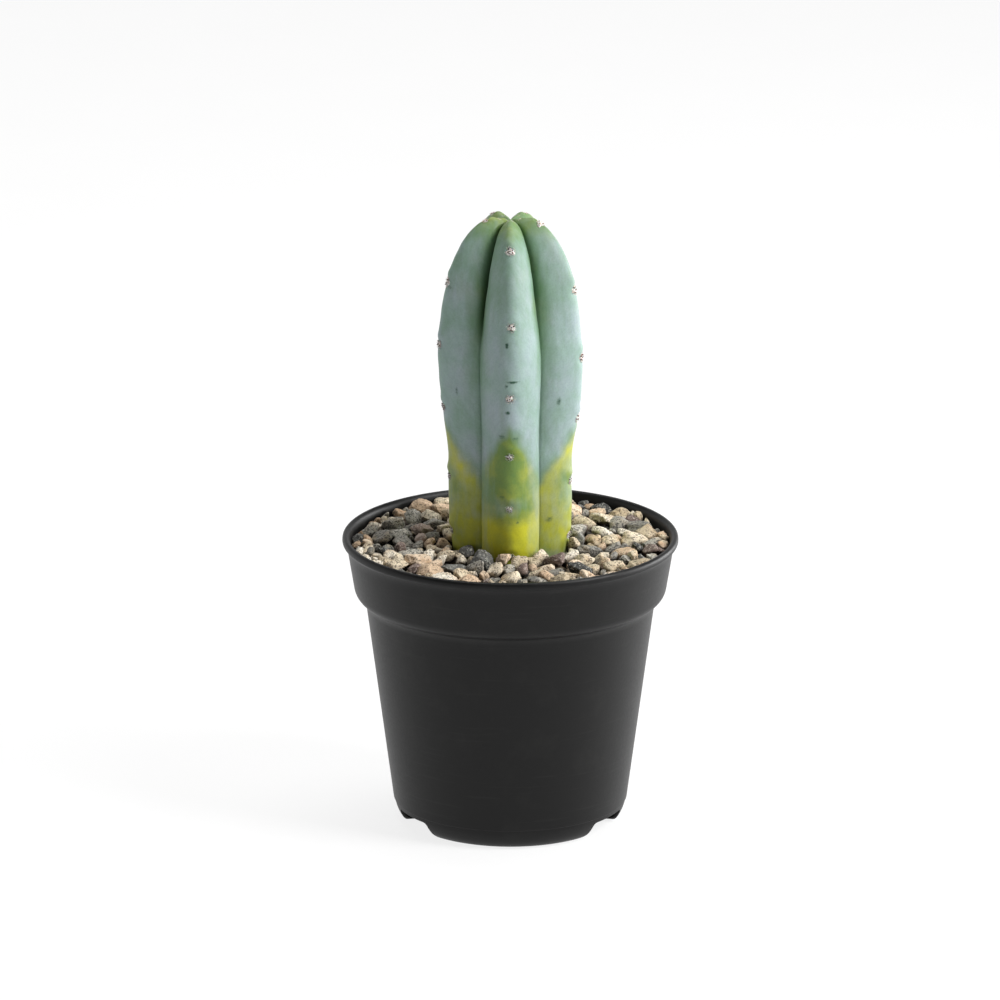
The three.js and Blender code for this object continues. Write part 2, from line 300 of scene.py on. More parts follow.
def waxy_skin():
    """Living cactus skin, grown, with a blue wax bloom over green.

    To the eye: a soft powdery blue-grey, greener in the furrows and at the tip, yellow low down, with faint
    streaks, rubbed spots and small dark scars; deep in the crown's furrows it is also darkened as painted
    shade.
    """
    material, add, shader, place = new_material(
        "waxy_skin", IOR=1.45, Specular_IOR_Level=0.35, Subsurface_Weight=0.09, Subsurface_Scale=mm(1.6),
        Subsurface_Radius=(0.9, 1.0, 0.5))
    bloom, yellow, scar, deep, chevron, across = (
        add("Attribute", attribute_name=name).outputs["Fac"]
        for name in ("bloom", "yellow", "scar", "deep", "chevron", "across"))

    cloud = add("TexNoise", {"Vector": place, "Scale": per(11), "Detail": 4.0, "Roughness": 0.6})
    upright = add("Mapping", {"Vector": place, "Scale": (1.0, 1.0, 0.22)})
    streak = add("TexNoise", {"Vector": upright, "Scale": per(2.4), "Detail": 5.0})
    # Growth lines run down from the ridge to the furrows, about 2 mm apart, a ridge's width long.
    lines_place = add("CombineXYZ", {"X": chevron, "Y": across})
    lines_scale = add("Mapping", {"Vector": lines_place, "Scale": (0.5, 3.0, 1.0)})
    lines = add("TexNoise", {"Vector": lines_scale, "Scale": 1.0, "Detail": 5.0, "Roughness": 0.7})
    grain = add("TexNoise", {"Vector": place, "Scale": per(0.8), "Detail": 4.0})
    pores = add("TexVoronoi", {"Vector": place, "Scale": per(0.75)})

    # Bare skin under the wax, from green to the yellow of the old foot.
    uneven_yellow = add("Math", {0: cloud, 1: 0.9, 2: yellow}, operation="MULTIPLY_ADD")
    level_yellow = add("Math", {0: uneven_yellow, 1: 0.45}, operation="SUBTRACT", use_clamp=True)
    bare = add("ValToRGB", {"Fac": level_yellow}, stops=(
        (0.0, "#52784a"), (0.3, "#67803c"), (0.6, "#959b3c"), (1.0, "#b4b32c")))
    # The wax itself, from sea green to a paler grey-blue.
    wax = add("ValToRGB", {"Fac": cloud}, stops=((0.3, "#7f988c"), (0.5, "#889c98"), (0.7, "#919fa3")))
    worn = add("Math", {0: streak, 1: 0.7, 2: bloom}, operation="MULTIPLY_ADD")
    wax_share = add("Math", {0: worn, 1: 0.35}, operation="SUBTRACT", use_clamp=True)
    skin = add("Mix", {FACTOR: wax_share, A: bare, B: wax}, data_type="RGBA")
    speckle = add("MapRange", {"Value": pores, "From Max": 0.6, "To Min": 0.94, "To Max": 1.03})
    shade = add("MapRange", {"Value": grain, "To Min": 0.93, "To Max": 1.07})
    lined = add(
        "MapRange", {"Value": lines, "From Min": 0.3, "From Max": 0.7, "To Min": 0.94, "To Max": 1.05})
    dotted = add("Math", {0: speckle, 1: shade}, operation="MULTIPLY")
    detail = add("Math", {0: dotted, 1: lined}, operation="MULTIPLY")
    # Down in the furrows of the crown the skin is tender, unwaxed and greener, and it is darkened further as
    # painted shade.
    furrow_green_and_shade = add("Mix", {FACTOR: deep, A: skin, B: linear("#24401c")}, data_type="RGBA")
    toned = add("Mix", {FACTOR: 1.0, A: furrow_green_and_shade, B: detail}, data_type="RGBA", blend_type="MULTIPLY")
    torn = add("Math", {0: grain, 1: 0.6, 2: scar}, operation="MULTIPLY_ADD")
    scarred = add("MapRange", {"Value": torn, "From Min": 0.5, "From Max": 0.95})
    colour = add("Mix", {FACTOR: scarred, A: toned, B: linear("#2c4a3a")}, data_type="RGBA")

    rough = add("MapRange", {"Value": wax_share, "To Min": 0.42, "To Max": 0.62})
    fine = add("Bump", {"Height": grain, "Strength": 0.15, "Distance": mm(0.12)})
    bump = add("Bump", {"Height": streak, "Strength": 0.18, "Distance": mm(0.5), "Normal": fine})
    connect(shader, {"Base Color": colour, "Roughness": rough, "Normal": bump})
    return material


def broken_stone(name, shades, fleck, fleck_share, vein):
    """Broken river stone, tumbled and dry.

    To the eye: matte, mottled between its shades, with mineral flecks, stains and a sandy surface, darker low
    down between the stones from soil and painted shade. Each stone's own tone comes with its points.
    """
    material, add, shader, place = new_material(name, IOR=1.54, Specular_IOR_Level=0.3)
    tone = add("Attribute", attribute_name="tone").outputs["Fac"]
    mottle = add("TexNoise", {"Vector": place, "Scale": per(3.2), "Detail": 5.0, "Roughness": 0.65})
    stain = add("TexNoise", {"Vector": place, "Scale": per(6.5), "Detail": 3.0})
    grit = add("TexNoise", {"Vector": place, "Scale": per(0.55), "Detail": 5.0, "Roughness": 0.7})
    flecks = add("TexVoronoi", {"Vector": place, "Scale": per(0.5)})
    mixed = add("Math", {0: mottle, 1: 0.9, 2: tone}, operation="MULTIPLY_ADD")
    place_in_ramp = add("Math", {0: mixed, 1: 0.45}, operation="SUBTRACT", use_clamp=True)
    body = add("ValToRGB", {"Fac": place_in_ramp}, stops=[
        (i / (len(shades) - 1), shade) for i, shade in enumerate(shades)])
    veined = add("MapRange", {"Value": stain, "From Min": 0.52, "From Max": 0.68, "To Max": 0.7})
    recoloured = add("Mix", {FACTOR: veined, A: body, B: linear(vein)}, data_type="RGBA")
    grain_share = add("SeparateColor", {0: flecks.outputs["Color"]})
    # Flecks gather where the rock was coarser.
    gathered = add(
        "MapRange", {"Value": mottle, "From Min": 0.3, "From Max": 0.7, "To Min": 0.4 * fleck_share,
        "To Max": 1.8 * fleck_share})
    is_fleck = add("Math", {0: grain_share, 1: gathered}, operation="LESS_THAN")
    faded = add("Math", {0: is_fleck, 1: 0.72}, operation="MULTIPLY")
    flecked = add("Mix", {FACTOR: faded, A: recoloured, B: linear(fleck)}, data_type="RGBA")
    shade = add("MapRange", {"Value": grit, "From Min": 0.25, "From Max": 0.75, "To Min": 0.5, "To Max": 1.3})
    colour = add("Mix", {FACTOR: 1.0, A: flecked, B: shade}, data_type="RGBA", blend_type="MULTIPLY")
    # Soil washed down between the stones, and painted shade in the gaps, darken their lower parts.
    soil_and_painted_shade = add("Attribute", attribute_name="soil_and_painted_shade").outputs["Fac"]
    soiled_and_shaded = add("Mix", {FACTOR: soil_and_painted_shade, A: colour, B: linear("#2a241e")}, data_type="RGBA")
    rough = add("MapRange", {"Value": grit, "To Min": 0.68, "To Max": 0.92})
    breaks = add("TexVoronoi", {"Vector": place, "Scale": per(2.2)}, feature="F1")
    chipped = add("Bump", {"Height": breaks, "Strength": 0.5, "Distance": mm(0.5)})
    coarse = add("Bump", {"Height": mottle, "Strength": 0.4, "Distance": mm(0.6), "Normal": chipped})
    bump = add("Bump", {"Height": grit, "Strength": 0.9, "Distance": mm(0.35), "Normal": coarse})
    connect(shader, {"Base Color": soiled_and_shaded, "Roughness": rough, "Normal": bump})
    return material


def bark_and_peat():
    """Potting mix of composted bark and peat, damp.

    To the eye: near-black brown crumbs with lighter fibres and white grains of perlite.
    """
    material, add, shader, place = new_material(
        "bark_and_peat", IOR=1.4, Specular_IOR_Level=0.25, Roughness=0.92)
    crumbs = add("TexVoronoi", {"Vector": place, "Scale": per(2.2)})
    fibre = add("TexNoise", {"Vector": place, "Scale": per(1.0), "Detail": 6.0})
    crumb_shade = add("SeparateColor", {0: crumbs.outputs["Color"]})
    earth = add("ValToRGB", {"Fac": crumb_shade}, stops=(
        (0.0, "#17110d"), (0.6, "#33261c"), (0.97, "#4d3b2b"), (1.0, "#b8b0a4")))
    shade = add("MapRange", {"Value": fibre, "To Min": 0.6, "To Max": 1.3})
    colour = add("Mix", {FACTOR: 1.0, A: earth, B: shade}, data_type="RGBA", blend_type="MULTIPLY")
    bump = add("Bump", {"Height": fibre, "Strength": 0.8, "Distance": mm(0.8)})
    connect(shader, {"Base Color": colour, "Normal": bump})
    return material


def areole_felt():
    """The areoles' felt: short plant hairs, matted.

    To the eye: a pale, slightly pink fluff that catches the light and is browner low down among its hairs.
    """
    material, add, shader, place = new_material(
        "areole_felt", Roughness=0.95, Specular_IOR_Level=0.15, Sheen_Weight=0.3, Subsurface_Weight=0.15,
        Subsurface_Scale=mm(0.5))
    tuft = add("TexNoise", {"Vector": place, "Scale": per(0.5), "Detail": 3.0})
    colour = add("ValToRGB", {"Fac": tuft}, stops=((0.3, "#93877e"), (0.5, "#d3ccc5"), (0.7, "#efece8")))
    bump = add("Bump", {"Height": tuft, "Strength": 0.5, "Distance": mm(0.2)})
    connect(shader, {"Base Color": colour, "Normal": bump})
    return material


def spine_horn():
    """Cactus spines: hard, dry plant tissue.

    To the eye: dark red-brown horn, with a slight gloss, paler where it is young. Age comes with its points.
    """
    material, add, shader, place = new_material("spine_horn", IOR=1.5, Roughness=0.45)
    young = add("Attribute", attribute_name="young").outputs["Fac"]
    band = add("TexNoise", {"Vector": place, "Scale": per(0.6), "Detail": 2.0})
    mixed = add("Math", {0: band, 1: 0.3, 2: young}, operation="MULTIPLY_ADD", use_clamp=True)
    colour = add("ValToRGB", {"Fac": mixed}, stops=((0.0, "#241a17"), (0.35, "#4a332c"), (1.0, "#a87f70")))
    bump = add("Bump", {"Height": band, "Strength": 0.2, "Distance": mm(0.1)})
    connect(shader, {"Base Color": colour, "Normal": bump})
    return material


def opal_acrylic(name, glow):
    """The table or backdrop: opal acrylic sheet, lit from behind.

    To the eye: an even, almost white ground.
    """
    material, add, shader, place = new_material(
        name, Roughness=0.95, Specular_IOR_Level=0.0, Emission_Color=(1, 1, 1, 1), Emission_Strength=glow)
    haze = add("TexNoise", {"Vector": place, "Scale": per(60), "Detail": 2.0})
    colour = add("ValToRGB", {"Fac": haze}, stops=((0.0, "#787878"), (1.0, "#7c7c7c")))
    connect(shader, {"Base Color": colour})
    return material


STONE_KINDS = {
    # name: (material name, shades from dark to pale, fleck, share of flecks, stain)
    "dark": ("dark_basalt", ("#3c3c3a", "#595956", "#7a7973"), "#aba99f", 0.16, "#504e49"),
    "grey": ("grey_granite", ("#7d7a72", "#a29e94", "#c6c1b4"), "#38383a", 0.28, "#ab9e87"),
    "cream": ("cream_quartzite", ("#bbab90", "#dccdb2", "#f3eada"), "#574c40", 0.2, "#cbb08a"),
    "tan": ("tan_sandstone", ("#b59c82", "#d8bea1", "#eedcc4"), "#6e5b48", 0.14, "#caa47e"),
    "mauve": ("mauve_porphyry", ("#5d504a", "#847269", "#a89689"), "#c2b5aa", 0.16, "#6f5d54"),
}


# ---- the pot ----

def pot_profiles():
    """The pot wall's two faces, from the axis up to the lip."""
    outside = outline(
        (0, BASE_HEIGHT), (34.4, BASE_HEIGHT), (35.2, BASE_HEIGHT, 35.6, BASE_HEIGHT - 0.9), (36.2, 0.6),
        (36.4, 0, 36.9, 0), (FOOT_RADIUS, 0), (43.3, 0.5, 44.9, LEDGE_HEIGHT - 1.4),
        (45, LEDGE_HEIGHT - 0.2), (45.02, LEDGE_HEIGHT, 45.4, LEDGE_HEIGHT + 0.06),
        (45.52, LEDGE_HEIGHT + 0.1, 45.56, LEDGE_HEIGHT + 0.5), (55.8, SHOULDER_HEIGHT),
        (56.4, 88.9, 58.3, 90), (60, 91.1, 60.5, COLLAR_HEIGHT), (62.6, LIP_HEIGHT),
        (63.2, 110.5, 64.5, 111.3), (RIM_RADIUS, 111.7, RIM_RADIUS, 112.4),
        (RIM_RADIUS, POT_HEIGHT - 0.2, 63.9, POT_HEIGHT))
    inside = outline(
        (0, BASE_HEIGHT + WALL), (35.1, BASE_HEIGHT + WALL),
        (35.7, BASE_HEIGHT + WALL, 36, BASE_HEIGHT + 0.5), (37.3, WALL + 0.3), (37.5, WALL, 38, WALL),
        (39.2, WALL), (42.3, 1.8, 43.7, LEDGE_HEIGHT - 1), (54.5, SHOULDER_HEIGHT + 0.8),
        (55.1, 90.2, 57.4, 91.1), (58.9, 92, 59.1, COLLAR_HEIGHT + 0.8), (61.1, LIP_HEIGHT),
        (61.5, 110.6, 62.0, 112.4), (62.4, POT_HEIGHT - 0.2, 63.5, POT_HEIGHT))
    return outside, inside


def notch_cutter(bearing):
    """The arched gap between two feet: a block that follows the foot ring, lofted in bearing."""
    arch = outline(
        (-16, -0.02), (-11.6, 0.2, -10.8, 2.6), (-9.9, 5), (-9.4, DRAIN_HEIGHT, -7.8, DRAIN_HEIGHT),
        (0, DRAIN_HEIGHT), steps=8)
    arch = resample(arch, spacing=1.5)
    arch = np.concatenate([arch, (arch * [-1, 1])[-2::-1]])
    points = []
    for across, height in arch:
        angle = math.radians(bearing) + across / (FOOT_RADIUS + 2)
        for radius, level in ((DRAIN_INNER_RADIUS, -3), (50, -3), (50, height), (DRAIN_INNER_RADIUS, height)):
            points.append((radius * math.sin(angle), -radius * math.cos(angle), level))
    faces = []
    for i in range(len(arch) - 1):
        faces += ring_band(4 * i, 4 * i + 4, 4)
    last = 4 * (len(arch) - 1)
    faces += [[3, 2, 1, 0], [last, last + 1, last + 2, last + 3]]
    return points, faces


def cut(piece, cutter):
    """Cut one piece by another with an exact boolean, and drop the cutter."""
    modifier = piece.modifiers.new("cut", "BOOLEAN")
    modifier.operation = "DIFFERENCE"
    modifier.solver = "EXACT"
    modifier.object = cutter
    apply_modifiers(piece)
    bpy.data.objects.remove(cutter)


def apply_modifiers(piece):
    """Give the piece the mesh that its modifiers make."""
    shaped = piece.evaluated_get(bpy.context.evaluated_depsgraph_get())
    mesh = bpy.data.meshes.new_from_object(shaped)
    piece.modifiers.clear()
    piece.data = mesh


def outward(piece):
    """Make the faces point out."""
    shape = bmesh.new()
    shape.from_mesh(piece.data)
    bmesh.ops.recalc_face_normals(shape, faces=shape.faces)
    shape.to_mesh(piece.data)
    shape.free()


def make_pot(material):
    """The moulded shell, its three notches cut, with the inner face marked for its material."""
    outside, inside = pot_profiles()
    points, faces = turn_profile(resample(np.concatenate([outside, inside[::-1]]), spacing=6), around=240)
    pot = add_mesh("nursery_pot", points, faces, material)
    for bearing in DRAIN_BEARINGS:
        cutter = add_mesh("cutter", *notch_cutter(bearing), material)
        outward(cutter)
        cut(pot, cutter)
    pot.data.set_sharp_from_angle(angle=math.radians(35))
    corners = to_mm(np.array([vertex.co for vertex in pot.data.vertices]))
    wall = inside[inside[:, 0] > FOOT_RADIUS]
    inner_radius = np.interp(corners[:, 2], wall[:, 1], wall[:, 0])
    on_inner_face = np.hypot(corners[:, 0], corners[:, 1]) < inner_radius + 0.05
    add_values(pot, "inside", on_inner_face * (1 - smooth_step(110.5, 112.5, corners[:, 2])))
    return pot


# ---- the stem ----

def level_points(level):
    """The ridge's and the furrow's radius and height at fractional rows of STEM_LEVELS, smoothly."""
    level = np.clip(np.asarray(level, float), 0, len(STEM_LEVELS) - 1)
    row = np.minimum(level.astype(int), len(STEM_LEVELS) - 2)
    share = (level - row)[..., None]
    before, here, above, beyond = (
        STEM_LEVELS[np.clip(row + i, 0, len(STEM_LEVELS) - 1)] for i in (-1, 0, 1, 2))
    in_slope = (above - before) / 2
    out_slope = (beyond - here) / 2
    return ((2 * here - 2 * above + in_slope + out_slope) * share ** 3
            + (3 * above - 3 * here - 2 * in_slope - out_slope) * share ** 2 + in_slope * share + here)


def rib_share(across):
    """How far from furrow (0) to ridge (1) the skin stands; across is 0 on the ridge and 1 in the furrow."""
    def rounded(value):
        return np.hypot(value, RIDGE_ROUNDING) - RIDGE_ROUNDING
    return 1 - rounded(across) / rounded(1)


def off_ridge(position):
    """How far from the ridge (0) to the furrow (1) a place is; ribs stand at whole positions."""
    return np.abs(position - np.round(position)) * 2


def furrow_share(position):
    """How deep the furrow nearest a place cuts, as a share of the deepest."""
    return FURROW_SHARES[np.floor(position).astype(int) % RIBS]


def stem_surface(level, bearing):
    """The stem's smooth skin, before its small bumps, as x, y, z in mm."""
    position = bearing / (math.tau / RIBS)
    across = off_ridge(position)
    levels = level_points(level)
    share = rib_share(across)[..., None]
    radius, height = np.moveaxis(levels[..., 2:] + (levels[..., :2] - levels[..., 2:]) * share, -1, 0)
    rib = np.round(position) % RIBS
    grown = smooth_step(2.0, 5.0, level) * (1 - smooth_step(13.0, 15.5, level))
    # Neighbouring ribs lean on each other: each flank swells out, then dives into a narrow furrow.
    crown = smooth_step(9.2, 12, level) * furrow_share(position)
    depth = (0.3 + 4.9 * crown) * grown
    width = 0.03 + 0.1 * crown
    swelling = (0.15 + 0.75 * crown) * np.exp(-((across - 0.76) / 0.2) ** 2) * grown
    radius = radius + swelling - depth * np.exp(-((1 - across) / width) ** 2)
    # No rib is quite straight or quite like the next one.
    sway = 0.02 * np.sin(level * 0.8 + rib * 2.1) + 0.008 * np.sin(level * 2.3 + rib * 4.7)
    swell = 1 + 0.008 * np.sin(level * 1.7 + rib * 1.3) * grown
    angle = bearing + sway * grown * (1 - across)
    radius = radius * swell
    return np.stack([radius * np.sin(angle), -radius * np.cos(angle), height], -1)


def skin_frame(level, bearing):
    """A point of the skin with its outward normal, upward and sideways directions."""
    step = 1e-3
    here = stem_surface(np.array(level), np.array(bearing))
    up = stem_surface(np.array(level + step), np.array(bearing)) - here
    side = (stem_surface(np.array(level), np.array(bearing + step))
            - stem_surface(np.array(level), np.array(bearing - step)))
    normal = np.cross(side, up)
    vectors = [vector / np.linalg.norm(vector) for vector in (normal, up, side)]
    return here, *vectors


def areoles():
    """Every areole as (level, bearing)."""
    rows = np.linspace(0, 14, 1401)
    heights = level_points(rows)[:, 1]
    places = []
    for rib in range(RIBS):
        levels = list(np.interp(AREOLE_HEIGHTS[rib], heights, rows)) + list(YOUNG_LEVELS[rib])
        places += [(float(level), rib * math.tau / RIBS) for level in levels]
    return places


# Small marks on the skin: rib, level, sideways place in mm, half length, half height, strength.
SKIN_MARKS = (
    (0, 9.38, -2.0, 0.7, 1.0, 1.0),
    (0, 8.25, 0.8, 2.4, 0.5, 0.9),
    (0, 8.12, -1.6, 0.9, 0.8, 0.6),
    (0, 7.42, -0.6, 1.0, 0.8, 0.8),
    (0, 6.75, -3.0, 1.6, 1.0, 0.55),
    (0, 6.7, 2.2, 1.8, 0.9, 0.45),
    (0, 4.85, -2.5, 1.5, 0.7, 0.5),
    (0, 4.7, 2.8, 1.2, 0.6, 0.45),
    (0, 4.3, 3.0, 0.9, 0.7, 0.6),
    (1, 7.45, -9.0, 0.6, 1.8, 0.6),
    (1, 4.2, -9.0, 1.4, 1.4, 0.5),
    (1, 5.0, 0.2, 1.2, 1.6, 0.9),
    (4, 5.1, 0.0, 1.2, 1.6, 0.9),
    (4, 7.7, 7.0, 0.5, 2.4, 0.5),
    (4, 10.6, 2.0, 1.8, 0.8, 0.5),
    (2, 8.6, 3.0, 1.6, 0.7, 0.7),
    (3, 6.2, -4.0, 0.8, 1.5, 0.6),
    (2, 5.2, -2.0, 1.3, 0.9, 0.6),
)


def drift(points, size_mm, seed):
    """Smooth noise from -1 to 1 at each point, with features of the given size."""
    offset = Vector((seed * 17.3, seed * 5.1, seed * 9.7))
    return np.array([noise.noise(Vector(point) / size_mm + offset) for point in points]) * 1.6


def skin_paint(position, points):
    """What the skin's material reads at each point: its bloom, yellow, scar, deep, chevron and across."""
    across = off_ridge(position)
    rib = np.round(position) % RIBS
    height = points[:, 2]
    broad = drift(points, 11, 1)
    fine = drift(points, 3.5, 2)
    front = rib == 0
    by_furrow = smooth_step(0.5, 0.95, across + 0.08 * broad)
    upper = smooth_step(165, 205, height)

    # Young skin: waxy all over, thinner by the furrows and greenest at the tip.
    young_bloom = 1 - 0.7 * by_furrow * upper
    young_bloom *= 1 - 0.25 * smooth_step(0.75, 1.0, across) * (1 - upper)
    young_bloom *= 1 - 0.28 * smooth_step(195, 225, height)
    young_bloom *= 1 - 0.75 * smooth_step(230, 241, height)
    young_yellow = 0.3 * smooth_step(232, 241, height)

    # Old skin: its edge is a chevron on each rib, highest on the ridge and running down to both furrows.
    chevron = height + np.where(front, 21, 19) * across + 2.0 * broad + 0.8 * fine
    edge = np.where(front, 166, 163)
    old = 1 - smooth_step(edge - 9, edge + 3, chevron)
    centre = 1 - smooth_step(0.1, 0.8, across + 0.12 * broad)
    level = height + 2.2 * broad + 1.0 * fine
    band = smooth_step(106, 114, level) * (1 - smooth_step(121, 130, level))
    diagonal = np.exp(-((chevron - edge + 7) / 7) ** 2)
    patch = np.exp(-((height - 132.5 + 1.5 * broad) / 3.6) ** 2) * (1 - smooth_step(0.15, 0.6, across))
    old_bloom = np.where(front, 0.36 - 0.56 * centre, 0.16 + 0.12 * fine) - 0.12 * band
    old_bloom += np.where(front, 0.6, 0.15) * patch + 0.3 * (1 - smooth_step(105, 113, level))
    ridge_line = np.exp(-((across / 0.08) ** 2))
    old_yellow = np.where(front, 0.47 - 0.13 * centre + (0.66 - 0.12 * ridge_line) * band,
                          0.48 + 0.3 * diagonal + 0.2 * band)
    old_yellow += 0.08 * broad

    bloom = young_bloom * (1 - old) + old_bloom * old
    yellow = young_yellow * (1 - old) + old_yellow * old

    scar = np.zeros(len(points))
    for mark_rib, mark_level, side, half_length, half_height, strength in SKIN_MARKS:
        centre, normal, up, sideways = skin_frame(mark_level, mark_rib * math.tau / RIBS)
        offset = points - (centre + sideways * side)
        spread = (offset @ sideways / half_length) ** 2 + (offset @ up / half_height) ** 2
        near = np.abs(offset @ normal) < 8
        scar += strength * np.exp(-spread) * near
    # The unwaxed green deep in the crown's furrows, darkened as painted shade; the furrows that cut deeper
    # get more.
    deep = 0.85 * smooth_step(0.78, 0.98, across) * smooth_step(188, 208, height)
    deep = deep * furrow_share(position) ** 2
    painted = {"bloom": bloom, "yellow": yellow, "scar": scar, "deep": deep}
    painted = {name: np.clip(values, -0.3, 1) for name, values in painted.items()}
    return painted | {"chevron": chevron, "across": across + rib}


def make_stem(material):
    """The ribbed skin as one closed mesh, with its seats for the areoles and its painted values."""
    rows, columns = 250, 400
    crowding = 0.6
    last = len(STEM_LEVELS) - 1
    level = np.linspace(0, last, rows + 1)[1:-1]
    # The columns stand closer together along the ridges and in the furrows, where the skin turns.
    bearing = np.arange(columns) / columns * math.tau
    bearing = bearing - crowding / (2 * RIBS) * np.sin(2 * RIBS * bearing)
    level, bearing = np.meshgrid(level, bearing, indexing="ij")
    surface = stem_surface(level, bearing)

    upward = np.gradient(surface, axis=0)
    sideways = (np.roll(surface, -1, 1) - np.roll(surface, 1, 1)) / 2
    normal = np.cross(sideways, upward)
    normal /= np.linalg.norm(normal, axis=-1, keepdims=True)

    # Low swellings, and a shallow seat with a brow over it at each areole.
    x, y, z = np.moveaxis(surface, -1, 0)
    bumps = 0.09 * np.sin(x * 0.5 + z * 0.21) * np.sin(y * 0.43 - z * 0.17) \
        + 0.05 * np.sin(z * 0.62 + np.sin(x * 0.3) * 2) * np.sin(x * 0.71 + y * 0.6)
    bumps *= smooth_step(1.0, 3.0, level) * (1 - smooth_step(13.5, 15.5, level))
    for seat_level, seat_bearing in areoles():
        centre, out, up, side = skin_frame(seat_level, seat_bearing)
        size = 0.45 + 0.55 * (1 - smooth_step(12.5, 15, seat_level))
        offset = surface - centre
        along, beside = offset @ up, offset @ side
        near = np.abs(offset @ out) < 6
        seat = np.exp(-(along ** 2 + beside ** 2) / (2 * (1.5 * size) ** 2))
        brow = np.exp(-((along - 3.2 * size) ** 2 / 3.2 + beside ** 2 / 5.0) / size)
        bumps += near * size * (0.5 * brow - 0.55 * seat)
    surface = surface + normal * bumps[..., None]

    points = surface.reshape(-1, 3)
    foot, tip = STEM_LEVELS[0, 1], STEM_LEVELS[-1, 1]
    points = np.concatenate([points, [[0, 0, foot], [0, 0, tip]]])
    faces = []
    for i in range(rows - 2):
        faces += ring_band(i * columns, (i + 1) * columns, columns)
    top = (rows - 2) * columns
    for j in range(columns):
        k = (j + 1) % columns
        faces.append([rows * columns - columns, k, j])
        faces.append([top + j, top + k, rows * columns - columns + 1])
    stem = add_mesh("cactus_stem_skin", points, faces, material)

    position = np.append(bearing.ravel() / (math.tau / RIBS), [0, 0])
    for name, values in skin_paint(position, points).items():
        add_values(stem, name, values)
    return stem


# ---- areoles: felt pads, hairs and spines ----

HAIRS = 150
SPINE_SIDES = 8


def cone(base, direction, length, radius, sides):
    """A slender pointed horn with a closed base."""
    direction = direction / np.linalg.norm(direction)
    helper = np.array([0, 0, 1.0]) if abs(direction[2]) < 0.9 else np.array([1.0, 0, 0])
    first = np.cross(direction, helper)
    first /= np.linalg.norm(first)
    second = np.cross(direction, first)
    points = []
    shares = (0.0, 0.35, 0.75) if sides > 4 else (0.0,)
    widths = (1.0, 0.85, 0.45) if sides > 4 else (1.0,)
    for share, width in zip(shares, widths):
        middle = base + direction * length * share
        for i in range(sides):
            angle = math.tau * i / sides
            points.append(middle + (first * math.cos(angle) + second * math.sin(angle)) * radius * width)
    points.append(base + direction * length)
    faces = [list(range(sides))]
    for ring in range(len(shares) - 1):
        for i in range(sides):
            j = (i + 1) % sides
            low = ring * sides
            faces.append([low + j, low + i, low + sides + i, low + sides + j])
    tip_ring = (len(shares) - 1) * sides
    faces += [[tip_ring + (i + 1) % sides, tip_ring + i, len(points) - 1] for i in range(sides)]
    return np.array(points), faces


def felt_pad(centre, out, up, side, size, rng):
    """A lumpy cushion of felt, sunk a little into its seat."""
    rings, around = 6, 20
    phase = rng.uniform(0, 6.28, 3)
    points = [centre + out * 0.75 * size]
    for ring in range(1, rings + 1):
        share = ring / rings
        for i in range(around):
            angle = math.tau * i / around
            lump = 1 + 0.12 * math.sin(3 * angle + phase[0]) + 0.08 * math.sin(5 * angle + phase[1])
            reach = 1.55 * size * share * lump
            rise = size * (0.75 * math.cos(share * 1.7) + 0.09 * math.sin(7 * angle + 9 * share + phase[2]))
            points.append(centre + side * reach * math.cos(angle) + up * reach * 1.1 * math.sin(angle)
                          + out * (rise - 0.25 * share ** 4))
    points.append(centre - out * 1.2)
    faces = [[0, 1 + i, 1 + (i + 1) % around] for i in range(around)]
    for ring in range(rings - 1):
        start = 1 + ring * around
        for i in range(around):
            j = (i + 1) % around
            faces.append([start + i, start + around + i, start + around + j, start + j])
    start = 1 + (rings - 1) * around
    faces += [[start + (i + 1) % around, start + i, len(points) - 1] for i in range(around)]
    return np.array(points), faces


def make_areoles(felt, horn):
    """Every areole's felt and hairs as one piece, and all the spines as another."""
    rng = np.random.default_rng(SEED)
    felt_parts, spine_parts, ages = [], [], []
    for level, bearing in areoles():
        centre, out, up, side = skin_frame(level, bearing)
        youth = float(smooth_step(11.5, 14.3, level))
        size = (0.92 + 0.3 * smooth_step(4, 9, level)) * (1 - 0.5 * smooth_step(13.0, 14.6, level))
        centre = centre - out * 0.7
        felt_parts.append(felt_pad(centre, out, up, side, size, rng))
        for _ in range(HAIRS):
            angle, reach = rng.uniform(0, math.tau), 1.6 * size * math.sqrt(rng.uniform())
            root = centre + side * reach * math.cos(angle) + up * reach * math.sin(angle) + out * 0.35 * size
            lean = side * math.cos(angle) * reach * 0.5 + up * math.sin(angle) * reach * 0.5
            aim = out + lean / size + rng.normal(0, 0.35, 3)
            felt_parts.append(cone(root, aim, rng.uniform(0.35, 0.9) * size, 0.055, 3))
        count = int(rng.integers(3, 6))
        turn = rng.uniform(0, math.tau)
        for i in range(count):
            angle = turn + math.tau * i / count + rng.normal(0, 0.2)
            lean = side * math.cos(angle) + up * math.sin(angle)
            root = centre + lean * 0.75 * size + out * 0.4 * size
            length = (0.62 + rng.uniform(-0.15, 0.2)) * size
            aim = out * 1.1 + lean * 0.6
            part = cone(root, aim, length, (0.30 - 0.1 * youth) * size, SPINE_SIDES)
            spine_parts.append(part)
            ages += [youth * 0.8 + (0.12 if i % 2 else 0)] * len(part[0])
        if youth < 0.6:
            root = centre + out * 0.45 * size
            aim = out + up * rng.uniform(-0.6, 0.2)
            part = cone(root, aim, 0.75 * size, 0.28 * size, SPINE_SIDES)
            spine_parts.append(part)
            ages += [0.05] * len(part[0])
    pads = add_mesh("areole_felt", *join_parts(felt_parts), felt)
    spines = add_mesh("areole_spines", *join_parts(spine_parts), horn)
    add_values(spines, "young", ages)
    return pads, spines


# ---- gravel ----

